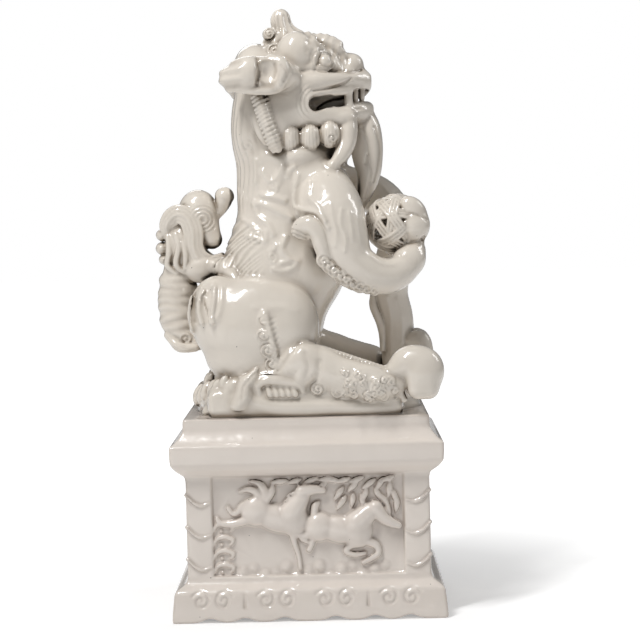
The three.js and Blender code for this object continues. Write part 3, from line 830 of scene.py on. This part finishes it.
def ground(clay):
    clay.ball((2, 0, 176), (100, 66, 24), blend=0)
    clay.ball((-70, -24, 186), (24, 32, 18), blend=8)
    clay.ball((-72, 26, 186), (22, 30, 18), blend=8)
    clay.ball((50, 24, 184), (40, 36, 20), blend=10)
    clay.block((0, 0, 186), (84, 67, 17), 9, blend=6)
    clay.block((-43, 0, 193), (37, 64, 15.5), 10, blend=5)
    clay.block((-16, 0, 193.5), (56, 70, 15), 8, blend=4)
    clay.block((0, 0, 187), (84, 71, 11), 6, blend=4)
    clay.ball((60, -40, 190), (24, 26, 12), blend=4)
    for side in (RIGHT, LEFT):
        # the smooth wavy strip along the foot
        strip = [[-84, 46, 178, 7], [-66, 60, 184, 8], [-46, 66, 188, 8], [-24, 67, 184, 8],
                 [0, 67, 183, 8], [24, 67, 183, 7.5], [50, 66, 182, 7.5], [76, 62, 180, 7]]
        clay.tube(flip(strip, side), blend=2.5)
        # the long scroll with its row of beads
        scroll = [[-40, 68, 194, 4.5], [-41, 69, 203, 5], [-33, 70, 207.5, 5.5], [-18, 70, 206, 5.5],
                  [-6, 70, 203, 5], [-2, 70, 197, 3.5]]
        clay.lock(flip(scroll, side), strands=3, twist=0.1, blend=1.5, spread=0.3)
        clay.ball((-19, side * 66, 197), (20, 6.5, 9), blend=4)
        for i in range(5):
            clay.tube(flip([[-32 + 5.4 * i, 71, 201, 2.2], [-30 + 5.4 * i, 73, 195, 3.0]], side), blend=1.2)
        for x, z, size in ((11, 199, 8), (28, 195.5, 7), (42, 195, 7), (55, 193, 6.5), (68, 192, 6)):
            clay.ball((x, side * 68, z), (size, 6.5, size * 0.9), blend=1.2)
            clay.whorl((x, side * 74, z), size, 3.4, 1.0, side)
        # knuckles of rock behind the haunch
        for x, y, z, r in (
            (-74, 58, 196, 6), (-67, 62, 194, 5.5), (-80, 52, 199, 6.5), (-86, 42, 196, 7),
            (-90, 30, 192, 7.5), (-94, 16, 190, 8), (-84, 30, 204, 7), (-74, 48, 206, 6),
            (-70, 63, 205, 5), (-62, 66, 202, 5.5), (-68, 66, 195, 5.5), (-59, 67, 193, 6),
            (-54, 65, 206, 5), (-76, 60, 202, 5),
        ):
            clay.ball((x, side * y, z), (r * 0.85, r * 0.85, r * 1.3), turn=(0, 18, 0), blend=1.2)


# ---- the plinth ----
DIE = (105.5, 72.5)  # half width and half depth of the plain block between skirt and cornice
MOULDING = np.array(  # [height, how far it stands out from the die]
    [
        [-20, 13.4], [0, 13.4], [8, 13.0], [16, 12.2], [24.5, 11.2], [27, 9.8], [29, 7.0], [31, 3.6],
        [33, 1.4], [36, 0.2], [40, 0], [121, 0], [125, 0.8], [128, 4.4], [131, 7.8], [134.5, 10.6],
        [137, 11.9], [144, 12.4], [151.5, 12.3], [153, 11.2], [155, 8.2], [158, 5.4], [161, 3.0],
        [164, 1.4], [167, 1.0], [172, 0.9], [200, 0.9],
    ]
)
POST = 22.0  # width of the corner posts
RECESS = 3.4  # depth of the panels between them
PANEL_LOW, PANEL_HIGH = 37.0, 125.0
PANEL_EDGE = 1.2  # over which a panel reaches its full depth
PLINTH_WALL = 7.0
SCROLL_UP = 19  # height of the middle of the skirt's scrolls
SCROLL_RADIUS = 8.6


def edge_notches(along, places):
    """Height of the skirt's lower edge: lobes between rounded notches, 3.6 mm high."""
    rise = np.zeros_like(along)
    for place in places:
        for end in (RIGHT, LEFT):
            rise = np.maximum(rise, 3.6 * np.exp(-(((along - end * place) / 8.0) ** 2)))
    return rise


def horses(clay, side):
    """Two galloping horses in relief, noses to +X."""
    face = DIE[1] - RECESS

    def limb(radius, *points, lift=1.0, blend=1.0):
        radii = np.interp(np.linspace(0, 1, len(points)), [0, 0.5, 1], radius)
        clay.tube(
            [[x, side * (face + lift), z, r] for (x, z), r in zip(points, radii)], blend=blend, spacing=2.5
        )

    def mass(x, z, wide, tall, high, tilt=0):
        clay.ball((x, side * face, z), (wide, high, tall), turn=(0, tilt, 0), blend=1.6)

    # the left horse, looking ahead
    mass(-45, 94, 13.5, 13.5, 9.0)
    mass(-27, 87, 20, 12, 8.0, 18)
    mass(-13, 86, 13.5, 14.5, 8.6)
    limb((10.5, 8.5, 6), (-14, 92), (-8, 101), (-3, 109), blend=2.5)
    limb((6, 4.4, 3), (-5, 110), (5, 112), (13, 111), lift=3)
    limb((1.4, 1.2, 0.6), (-6, 112), (-9, 118), lift=3)
    limb((4.2, 3.8, 1.2), (-38, 104), (-37, 111), (-42, 118), (-50, 120))
    limb((4.2, 3.6, 1.2), (-40, 104), (-44, 110), (-51, 113), (-59, 111))
    limb((4.2, 3.4, 1.2), (-36, 104), (-31, 111), (-30, 118))
    limb((4.4, 3.0, 2.0), (-52, 87), (-61, 84), (-70, 83), (-76, 84), (-79, 88))
    limb((4.0, 2.6, 2.0), (-50, 101), (-57, 98), (-61, 93), (-65, 92), (-69, 97))
    limb((4.0, 2.8, 2.4), (-16, 76), (-9, 73), (1, 73), (3, 66), (0, 59))
    limb((3.4, 2.2, 2.0), (-14, 74), (-12, 64), (-9, 54), (-8, 43))
    for i in range(5):
        x, z = -3 * i, 109 - 4.5 * i
        limb((1.8, 1.5, 0.6), (x - 5, z), (x - 13, z), (-19 - 2 * i, 106 - 4 * i), lift=3.5, blend=0.6)
    # the right horse, with its head low
    mass(9, 79, 13, 13, 9.0)
    mass(28, 76, 20, 12, 8.0, 10)
    mass(42, 75, 13.5, 15, 8.6)
    limb((10.5, 9, 7), (42, 82), (50, 89), (58, 94), blend=2.5)
    limb((6.5, 5, 3), (58, 95), (64, 87), (71, 82), (78, 79), lift=3)
    limb((1.4, 1.2, 0.6), (57, 97), (55, 103), lift=3)
    limb((3.6, 3.6, 2.0), (5, 90), (6, 97), (9, 100))
    limb((3.8, 2.6, 2.0), (46, 64), (36, 62), (32, 57), (40, 54), (48, 55))
    limb((4.2, 2.8, 2.2), (50, 66), (58, 62), (60, 55), (53, 50), (47, 47))
    limb((4.0, 3.0, 2.0), (4, 74), (-6, 70), (-1, 66))
    for i in range(6):
        mane = [(62 - 4 * i, 96 - 1.6 * i), (52 - 4 * i, 95 - 2 * i), (44 - 4 * i, 91 - 1.6 * i)]
        limb((1.8, 1.5, 0.6), *mane, lift=3.8, blend=0.6)


def leaf(clay, place, along, up, angle, length):
    """One bamboo leaf with a midrib; place(along, up, lift) maps the panel to space."""
    dx, dz = math.cos(angle), math.sin(angle)
    rows = [[*place(along + length * t * dx, up + length * t * dz, 1.2), r]
            for t, r in ((0.0, 0.7), (0.3, 2.7), (0.6, 2.5), (1.0, 0.6))]
    clay.tube(rows, blend=0.5, spacing=2.5)
    ends = [[*place(along + length * t * dx, up + length * t * dz, 3.6), 0.4] for t in (0.1, 0.85)]
    clay.tube(ends, blend=0.3, cut=True)


def panel_plants(clay, place, half):
    """Bamboo along the top of a panel, stacked curls at one side and scroll tufts at its foot."""
    leaves = (  # how far from the panel's end, height of the stalk, direction in degrees
        (60, 122, 190), (74, 122, 200), (88, 121, 195), (100, 120, 185), (66, 118, 215), (82, 116, 205),
        (56, 119, 170), (46, 121, 195), (40, 118, 225), (52, 114, 235), (34, 122, 200), (44, 108, 262),
        (50, 106, 235), (38, 107, 285), (32, 112, 250), (24, 120, 215), (26, 112, 300), (18, 121, 240),
        (12, 118, 262), (20, 106, 300), (10, 110, 285), (15, 99, 275), (6, 104, 262), (8, 122, 200),
    )
    for i, (back, up, angle) in enumerate(leaves):
        along = half - back
        if along > -half + 6:
            leaf(clay, place, along, up, math.radians(angle), 16 - 1.2 * (i % 3))
    for i in range(4):
        up = 82 - 12 * i
        curl = [(-half + 2, up - 5, 1.2), (-half + 4, up, 1.8), (-half + 11, up + 2, 2.2),
                (-half + 18, up - 1, 2.0), (-half + 16, up - 5, 1.4)]
        clay.tube([[*place(along, high, 0.6), r] for along, high, r in curl], blend=0.8, spacing=2.5)
        clay.ball(place(-half + 8, up - 5, 0.4), (1.8, 1.8, 1.8), blend=0.6)
    for i in range(14):
        along = -half + 26 + i * (2 * half - 34) / 14
        clay.ball(place(along, 41 + 4 * math.sin(2.1 * i), -2.4), 4.2 + math.sin(3.7 * i), blend=3)


def plinth(clay):
    """A moulded box, open below, with sunk panels on all sides."""
    window = clay.window((-140, -110, -8), (140, 110, PLINTH_TOP + 8))
    x, y, z = clay.grid(window)
    out = np.interp(z, MOULDING[:, 0], MOULDING[:, 1]).astype(np.float32)
    panel_z = np.clip((z - PANEL_LOW) / PANEL_EDGE, 0, 1) * np.clip((PANEL_HIGH - z) / PANEL_EDGE, 0, 1)
    sunk_front = RECESS * panel_z * np.clip((DIE[0] - POST - np.abs(x)) / PANEL_EDGE, 0, 1)
    sunk_end = RECESS * panel_z * np.clip((DIE[1] - POST - np.abs(y)) / PANEL_EDGE, 0, 1)
    dx = np.abs(x) - (DIE[0] + out - sunk_end)
    dy = np.abs(y) - (DIE[1] + out - sunk_front)
    shell = -smooth_min(-dx, -dy, 2.6)
    shell = -smooth_min(-shell, -(z - PLINTH_TOP), 2.0)
    lower = np.maximum(
        edge_notches(x, (22, 56, 86)) * (np.abs(y) > DIE[1] - 10),
        edge_notches(y, (24, 50)) * (np.abs(x) > DIE[0] - 10),
    )
    shell = -smooth_min(-shell, -(lower - z), 2.0)
    inset = 0.85 * out - PLINTH_WALL
    hollow = np.maximum(np.abs(x) - (DIE[0] + inset), np.abs(y) - (DIE[1] + inset))
    hollow = np.maximum(hollow, z - (PLINTH_TOP - PLINTH_WALL))
    clay.field[window] = np.maximum(shell, -hollow)

    for side in (RIGHT, LEFT):
        # from a panel's own directions to space, for the long side and the end
        def front(along, up, lift, side=side):
            return along, side * (DIE[1] - RECESS + lift), up

        def end(along, up, lift, side=side):
            return side * (DIE[0] - RECESS + lift), along, up

        horses(clay, side)
        panel_plants(clay, front, DIE[0] - POST)
        panel_plants(clay, end, DIE[1] - POST)
        scrolls(clay, side)
        posts(clay, side)


def spiral(middle, hand):
    """Points of one scroll on the long side of the skirt, from its rim to its eye."""
    points = []
    for t in np.linspace(0, 1, 12):
        reach = SCROLL_RADIUS * (1 - 0.84 * t)
        angle = 2.6 - 8.6 * t
        points.append((middle + hand * reach * math.cos(angle), SCROLL_UP + reach * math.sin(angle)))
    return points


def end_scroll(clay, face, middle, hand):
    """One scroll cut into an end of the skirt, from its rim to its eye."""
    rows = []
    for t in np.linspace(0, 1, 15):
        reach = 8.2 * (1 - 0.86 * t)
        angle = 1.2 + hand * 1.3 * 2 * math.pi * t
        along, up = middle + reach * math.cos(angle), SCROLL_UP + 0.5 + reach * math.sin(angle)
        rows.append([face, along, up, 1.5 * (1 - 0.35 * t)])
    clay.tube(rows, blend=1, spacing=1.5, cut=True)


def scrolls(clay, side):
    """Pairs of spiral scrolls cut round the skirt, with a short bar between the pairs."""
    shift = -3  # the long sides' row is a little off the middle
    for end in (RIGHT, LEFT):
        for first, second in ((16, 34.6), (71, 90.7)):
            clay.emboss(side, spiral(end * first + shift, end), 1.2, -1.6)
            clay.emboss(side, spiral(end * second + shift, -end), 1.2, -1.6)
        for along in (15, 33, 62):
            end_scroll(clay, side * 117.8, end * along, -end)
        along = end * 53 + shift
        clay.tube([[along, side * 85, 13, 1.4], [along, side * 84.4, 25, 1.4]], blend=1, cut=True)
        along = end * 48
        clay.tube([[side * 118, along, 13, 1.4], [side * 117.4, along, 25, 1.4]], blend=1, cut=True)


def posts(clay, side):
    """Bamboo joints across the corner posts, on both faces of each."""
    inner, outer = DIE[0] - POST + 1, DIE[0] - 0.5
    for end in (RIGHT, LEFT):
        for up in (47, 75, 103):
            front, flank = side * (DIE[1] - 0.2), end * (DIE[0] - 0.3)
            joint = [
                [end * inner, front, up - 1, 0.9], [end * (inner + 7), front, up - 3.4, 1.7],
                [end * (inner + 14), front, up - 0.6, 1.8],
                [end * outer, side * (DIE[1] - 0.8), up + 6, 1.6],
                [flank, side * (DIE[1] - 8), up + 4, 1.5], [flank, side * (DIE[1] - POST + 1), up - 1, 0.9],
            ]
            clay.tube(joint, blend=0.6, spacing=3)
            for shift in (-2.2, 2.4):
                groove = [[x, y + side * 0.7, z + shift, 0.7] for x, y, z, _ in joint[:4]]
                clay.tube(groove, blend=0.8, spacing=3, cut=True)


# ---- which sculptor makes which node ----
def pair(name, sculptor, blend, step):
    """Both of a pair of pieces, the right one first."""
    return {
        "right_" + name: (sculptor(RIGHT), blend, step),
        "left_" + name: (sculptor(LEFT), blend, step),
    }


PIECES = {  # name: sculptor, how softly it joins the pieces before it in mm, grid step in mm
    "ground": (ground, 0, 1.1),
    "torso": (torso, 3, 1.2),
    "head": (head, 4, 0.95),
    "lower_jaw": (lower_jaw, 2.5, 0.95),
    "crest": (crest, 3, 0.85),
    **pair("ear", ear, 3, 0.9),
    **pair("eye", eye, 0.6, 0.7),
    **pair("fang", fang, 1, 0.7),
    **pair("mane_roll", mane_roll, 1.5, 0.8),
    **pair("cheek_curls", cheek_curls, 1, 0.8),
    **pair("chin_tuft", chin_tuft, 2, 0.8),
    "beard": (beard, 2, 0.9),
    "right_foreleg": (right_foreleg, 7, 1.0),
    "left_foreleg": (left_foreleg, 7, 1.1),
    "ribbon_ball": (ribbon_ball, 0.8, 0.8),
    "right_hind_leg": (right_hind_leg, 5, 1.1),
    "left_hind_leg": (left_hind_leg, 5, 1.2),
    "right_hind_foot": (hind_foot(RIGHT), 2.5, 1.0),
    "left_hind_foot": (hind_foot(LEFT), 2.5, 1.1),
    "tail_trunk": (tail_trunk, 3, 1.0),
    "tail_plume": (tail_plume, 2, 0.95),
    "plinth": (plinth, 2, 1.25),
}
BOXES = {}
for piece_name in PIECES:
    box_low, box_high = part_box(piece_name)
    BOXES[piece_name] = (
        (np.array(box_low) - HOME) / MM - MARGIN,
        (np.array(box_high) - HOME) / MM + MARGIN,
    )


def overlapping(a, b):
    """Whether the boxes of two pieces meet."""
    return np.all(BOXES[a][0] < BOXES[b][1]) and np.all(BOXES[b][0] < BOXES[a][1])


def model(name):
    """One piece's grid with the skin of all the clay in it, and the piece's own vertices and quads."""
    step = PIECES[name][2] * 1
    own = Clay(*BOXES[name], step)
    PIECES[name][0](own)
    shared = own.fresh()
    others = np.full_like(own.field, FAR)
    for other, (sculpt, blend, _) in PIECES.items():
        if other == name:
            shared.field = smooth_min(shared.field, own.field, blend)
        elif overlapping(name, other):
            clay = own.fresh()
            sculpt(clay)
            shared.field = smooth_min(shared.field, clay.field, blend)
            others = np.minimum(others, clay.field)
    beyond = own.field - others  # above 0 where the clay belongs to a neighbour
    sunk = shared.field + SINK * np.clip(beyond / OVERLAP, 0, 1)
    field = np.maximum(sunk, beyond - OVERLAP)
    for face in (0, -1):  # close the mesh where the clay reaches the edge of the grid
        field[face, :, :] = field[:, face, :] = field[:, :, face] = 1
    return shared, *surface_net(own, field)


def thinned(piece, faces):
    """The piece's mesh with about `faces` triangles, fewest where it is flat."""
    modifier = piece.modifiers.new("thin", "DECIMATE")
    modifier.ratio = min(1.0, faces / (2 * len(piece.data.polygons)))
    mesh = bpy.data.meshes.new_from_object(piece.evaluated_get(bpy.context.evaluated_depsgraph_get()))
    piece.modifiers.clear()
    return mesh


def build(name, shared, vertices, quads):
    """The Blender object of one piece, with normals and openness read from the shared skin."""
    rough = bpy.data.meshes.new(name + "_rough")
    rough.vertices.add(len(vertices))
    rough.vertices.foreach_set("co", (HOME + MM * vertices).astype(np.float32).ravel())
    rough.loops.add(quads.size)
    rough.loops.foreach_set("vertex_index", quads.astype(np.int32).ravel())
    rough.polygons.add(len(quads))
    rough.polygons.foreach_set("loop_start", np.arange(0, quads.size, 4, dtype=np.int32))
    rough.update(calc_edges=True)
    rough.validate()
    piece = bpy.data.objects.new(name + "_glazed", rough)
    bpy.context.scene.collection.objects.link(piece)
    mesh = thinned(piece, min(THINNING * 2 * len(quads), MOST_FACES))
    mesh.name = name + "_clay"
    piece.data = mesh
    bpy.data.meshes.remove(rough)

    places = np.empty(3 * len(mesh.vertices), np.float32)
    mesh.vertices.foreach_get("co", places)
    places = (places.reshape(-1, 3) - HOME) / MM
    normals = skin_normals(shared, places)
    mesh.polygons.foreach_set("use_smooth", np.ones(len(mesh.polygons), bool))
    # openness and daylight are the masks of the glaze's painted shade in crevices and deep hollows
    for attribute, reaches in (("openness", CREVICES), ("daylight", HOLLOWS)):
        shade = mesh.attributes.new(attribute, "FLOAT", "POINT")
        open_air = openness(shared, places, normals, reaches)
        shade.data.foreach_set("value", open_air.astype(np.float32))
    mesh.normals_split_custom_set_from_vertices(normals.astype(np.float32))
    return piece


# ---- glazes ----
class Graph:
    """The shading nodes of one material or world."""

    def __init__(self, owner):
        owner.use_nodes = True
        self.nodes = owner.node_tree.nodes
        self.links = owner.node_tree.links

    def put(self, socket, value):
        """Sets a socket to a number or a colour, or links it to another node's output."""
        if isinstance(value, bpy.types.NodeSocket):
            self.links.new(value, socket)
        else:
            socket.default_value = (*value, 1) if isinstance(value, tuple) else value

    def add(self, kind, output, inputs, **settings):
        """An output of a new node with the given inputs and settings."""
        node = self.nodes.new("ShaderNode" + kind)
        for setting, value in settings.items():
            setattr(node, setting, value)
        for name, value in inputs.items():
            self.put(node.inputs[name], value)
        return node.outputs[output]

    def ramp(self, value, low, high, start=0.0, end=1.0):
        """From start to end as value goes from low to high."""
        inputs = {"From Min": low, "From Max": high, "To Min": start, "To Max": end, "Value": value}
        return self.add("MapRange", "Result", inputs)

    def mix(self, dark, light, share):
        """A colour between two others."""
        inputs = {"A": dark, "B": light, "Factor": share}
        return self.add("Mix", "Result", inputs, data_type="RGBA")

    def times(self, value, factor):
        return self.add("Math", "Value", {0: value, 1: factor}, operation="MULTIPLY")

    def noise(self, scale, detail, place):
        return self.add("TexNoise", "Fac", {"Scale": scale, "Detail": detail, "Vector": place})


PINHOLE = (0.12, 0.1, 0.08)
PAINTED_SHADE = (0.05, 0.04, 0.03)  # painted shade: the near-black colour put on the glaze where no light gets in
COAT, SPECULAR = 0.8, 0.5  # gloss in the open


def glaze(name, thin, pool_and_shade, roughness):
    """A clear glaze over white clay, with ripples and pinholes; darker in crevices from glaze pooling plus
    painted shade, and near black in deep hollows from painted shade.
    """
    material = bpy.data.materials.new(name)
    graph = Graph(material)
    place = graph.add("TexCoord", "Object", {})
    openness_here = graph.add("Attribute", "Fac", {}, attribute_name="openness")
    daylight = graph.add("Attribute", "Fac", {}, attribute_name="daylight")
    # painted shade with glaze pooling: darker colour where the skin is closed in by crevices
    thin_and_unshaded = graph.ramp(openness_here, 0.38, 0.99)
    clouds = graph.ramp(graph.noise(16, 3, place), 0.35, 0.65, -0.06, 0.03)
    amount = graph.add("Math", "Value", {0: thin_and_unshaded, 1: clouds}, operation="ADD", use_clamp=True)
    cells = graph.add("TexVoronoi", "Distance", {"Scale": 55, "Vector": place})
    speckled = graph.mix(PINHOLE, graph.mix(pool_and_shade, thin, amount), graph.ramp(cells, 0.018, 0.03))
    # painted shade: the glaze goes to near black in deep hollows, and the coat and specular gloss fade out
    # there too
    lit = graph.ramp(daylight, 0.0, 0.2)
    ripples = {"Strength": 0.4, "Distance": 0.003, "Height": graph.noise(48, 2, place)}
    shader = material.node_tree.nodes["Principled BSDF"]
    for socket, value in (
        ("Base Color", graph.mix(PAINTED_SHADE, speckled, lit)),
        ("Normal", graph.add("Bump", "Normal", ripples)),
        ("Roughness", roughness),
        ("IOR", 1.5),
        ("Coat Weight", graph.times(lit, COAT)),
        ("Coat Roughness", 0.06),
        ("Specular IOR Level", graph.times(lit, SPECULAR)),
    ):
        graph.put(shader.inputs[socket], value)
    return material


GLAZES = {  # thin glaze, glaze pooling with painted crevice shade, roughness
    "body_glaze": glaze("body_glaze", (0.80, 0.735, 0.65), (0.36, 0.30, 0.235), 0.2),
    "plinth_glaze": glaze("plinth_glaze", (0.85, 0.775, 0.705), (0.56, 0.48, 0.42), 0.26),
}

with ThreadPoolExecutor(4) as pool:
    modelled = dict(zip(PIECES, pool.map(model, PIECES)))

for piece_name, shape in modelled.items():
    piece = build(piece_name, *shape)
    slot = "plinth_glaze" if piece_name == "plinth" else "body_glaze"
    piece.data.materials.append(GLAZES[slot])
    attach(piece, "root")
    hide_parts(piece_name)


# ---- floor, lights and camera ----
FLOOR_COLOUR = (0.8, 0.8, 0.8)
FLOOR_REACH = 8.0  # m, half the floor's width
AIM = (0, 0, 0.28)  # m, the middle of the statue, at which the lamps point
LAMPS = {  # place in m, size in m, power in W
    "window_light": ((-0.65, -0.8, 1.85), (0.16, 0.9), 27),
    "side_light": ((1.5, 0.2, 1.3), (0.3, 0.9), 5),
    "back_light": ((-0.4, 1.6, 1.4), (0.8, 0.8), 3),
}
SKY_LIGHT = 0.14  # how strongly the white surroundings light the statue
LENS = 98.6  # mm
CAMERA_PLACE = (23.5, -1571.3, 351.3)  # mm from HOME
CAMERA_DOWN, CAMERA_LEFT, CAMERA_ROLL = 3.56, 0.35, -1.42  # degrees


def glowing_floor(name):
    """A pale matt floor with painted light: it glows, more strongly away from the object, to look like a lit
    studio sweep.
    """
    material = bpy.data.materials.new(name)
    graph = Graph(material)
    place = graph.add("TexCoord", "Object", {})
    away = graph.add("VectorMath", "Value", {0: place}, operation="LENGTH")
    glow = graph.ramp(away, 0.1, 0.6, 0.3, 0.9)
    # painted light: the floor glows brighter to the camera than towards the statue
    seen = graph.add("LightPath", "Is Camera Ray", {})
    shader = material.node_tree.nodes["Principled BSDF"]
    for socket, value in (
        ("Base Color", FLOOR_COLOUR),
        ("Roughness", 0.9),
        ("Emission Color", (1, 1, 1)),
        ("Emission Strength", graph.times(glow, graph.ramp(seen, 0, 1, 0.4))),
    ):
        graph.put(shader.inputs[socket], value)
    return material


def softbox(name, place, size, power):
    """A rectangular lamp that points at the statue."""
    light = bpy.data.lights.new(name, "AREA")
    light.shape = "RECTANGLE"
    light.size, light.size_y = size
    light.energy = power
    lamp = bpy.data.objects.new(name, light)
    lamp.location = place
    lamp.rotation_euler = (Vector(AIM) - Vector(place)).to_track_quat("-Z", "Y").to_euler()
    bpy.context.scene.collection.objects.link(lamp)
    return lamp


floor_mesh = bpy.data.meshes.new("floor")
corners = [(x * FLOOR_REACH, y * FLOOR_REACH, 0) for x, y in ((-1, -1), (1, -1), (1, 1), (-1, 1))]
floor_mesh.from_pydata(corners, [], [(0, 1, 2, 3)])
floor_mesh.materials.append(glowing_floor("floor"))
floor = bpy.data.objects.new("floor", floor_mesh)
bpy.context.scene.collection.objects.link(floor)

lamps = [softbox(name, *settings) for name, settings in LAMPS.items()]

world = bpy.data.worlds.new("studio")
sky = Graph(world)
backdrop = world.node_tree.nodes["Background"]
sky.put(backdrop.inputs["Color"], (1, 1, 1))
seen = sky.add("LightPath", "Is Camera Ray", {})
sky.put(backdrop.inputs["Strength"], sky.ramp(seen, 0, 1, SKY_LIGHT))
bpy.context.scene.world = world
bpy.context.scene.view_settings.view_transform = "Standard"

camera_data = bpy.data.cameras.new("camera")
camera_data.lens = LENS
camera = bpy.data.objects.new("camera", camera_data)
camera.location = HOME + MM * np.array(CAMERA_PLACE)
camera.rotation_euler = (math.radians(90 - CAMERA_DOWN), 0, math.radians(CAMERA_LEFT))
camera.rotation_euler.rotate_axis("Z", math.radians(CAMERA_ROLL))
bpy.context.scene.collection.objects.link(camera)
bpy.context.scene.camera = camera
